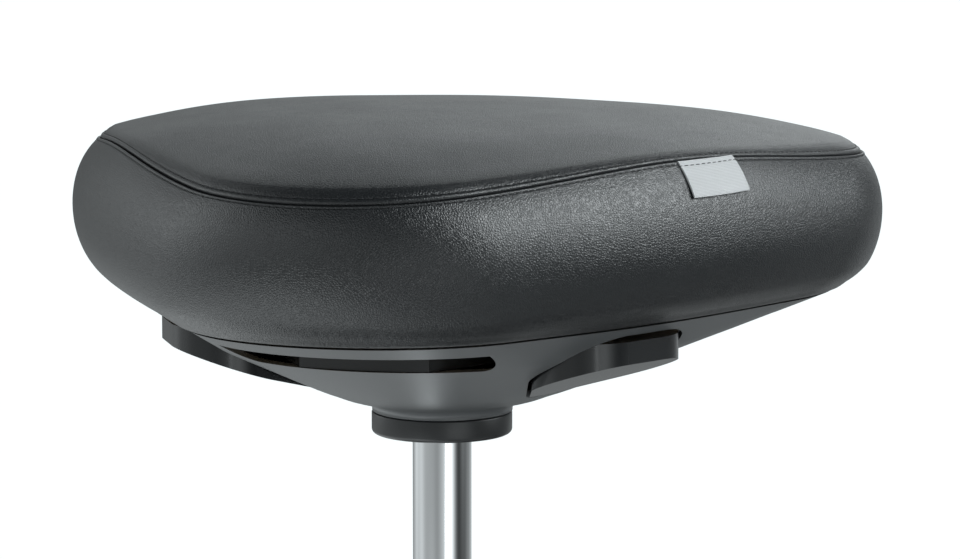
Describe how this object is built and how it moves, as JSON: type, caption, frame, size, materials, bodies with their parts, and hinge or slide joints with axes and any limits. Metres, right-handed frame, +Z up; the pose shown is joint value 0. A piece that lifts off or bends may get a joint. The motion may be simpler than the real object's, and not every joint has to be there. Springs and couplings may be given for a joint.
{
  "type": "perch stool",
  "caption": "Perch stool with a dished three-cornered padded saddle on a sprung gas lift, a release plate under the seat and a weighted round foot.",
  "frame": {"origin": "centre of the foot's underside, on the column axis, at floor level", "axes": "+Z up along the column; one corner of the seat points along -Y, and the pictured side is seen from azimuth 15 degrees"},
  "size_m": [0.3994, 0.3995, 0.808],
  "materials": {
    "leather": "black grained synthetic leather",
    "shell_plastic": "dark grey moulded plastic, fine matt grain",
    "paddle_plastic": "near-black moulded plastic, satin",
    "foot_plastic": "black moulded plastic, fine matt grain",
    "tube_paint": "black powder coat",
    "bracket_paint": "black electro-coat",
    "bushing_plastic": "smooth dark acetal",
    "chrome": "polished chrome",
    "raw_steel": "oiled steel",
    "zinc_steel": "bright zinc plate",
    "aluminium": "turned aluminium",
    "brass": "turned brass",
    "rubber": "matt black rubber",
    "foam": "moulded foam",
    "plywood": "birch plywood",
    "tag_fabric": "grey woven tape"
  },
  "bodies": {
    "stand": {"floor_pad": "rubber", "ballast_plate": "raw_steel", "foot_bumper": "rubber", "foot_cover": "foot_plastic", "foot_hub": "raw_steel", "hub_bolts": "zinc_steel", "stand_tube": "tube_paint", "tube_trim": "foot_plastic", "guide_bushing": "bushing_plastic", "tube_floor": "raw_steel", "lower_race": "raw_steel", "ball_cage": "brass", "bearing_balls": "chrome"},
    "lift_rod": {"piston_rod": "chrome", "piston": "aluminium", "piston_seal": "rubber", "upper_race": "raw_steel", "rod_clip": "zinc_steel", "bump_buffer": "rubber"},
    "seat": {"gas_cylinder": "chrome", "rod_guide": "bushing_plastic", "valve_body": "brass", "taper_socket": "raw_steel", "seat_bracket": "bracket_paint", "seat_bolts": "zinc_steel", "tee_nuts": "zinc_steel", "seat_board": "plywood", "seat_foam": "foam", "seat_side_cover": "leather", "seat_top_cover": "leather", "side_tag": "tag_fabric", "under_shell": "shell_plastic", "shell_collar": "shell_plastic", "shell_screws": "zinc_steel", "rocker_axle": "zinc_steel"},
    "lever_plate": {"release_plate": "paddle_plastic"},
    "rocker": {"release_rocker": "zinc_steel"},
    "release_pin": {"valve_pin": "zinc_steel"}
  },
  "joints": [
    {"name": "seat_swivel", "type": "hinge", "parent": "stand", "child": "lift_rod", "pos_m": [0, 0, 0.3], "axis": [0, 0, 1], "continuous": true},
    {"name": "seat_height", "type": "slide", "parent": "lift_rod", "child": "seat", "axis": [0, 0, 1], "range_m": [-0.2, 0]},
    {"name": "plate_lift", "type": "hinge", "parent": "seat", "child": "lever_plate", "pos_m": [-0.09699, 0.056, 0.7026], "axis": [-0.5, -0.866, 0], "range_deg": [0, 0.55], "stiffness_Nm_per_rad": 60},
    {"name": "rocker_tilt", "type": "hinge", "parent": "seat", "child": "rocker", "pos_m": [0.02079, -0.012, 0.70945], "axis": [-0.5, -0.866, 0], "range_deg": [0, 2.77]},
    {"name": "valve_press", "type": "slide", "parent": "seat", "child": "release_pin", "axis": [0, 0, 1], "range_m": [-0.0012, 0]}
  ],
  "couplings": [
    {"joint": "rocker_tilt", "follows": "plate_lift", "ratio": 4.942},
    {"joint": "valve_press", "follows": "plate_lift", "m_per_rad": -0.11861}
  ]
}
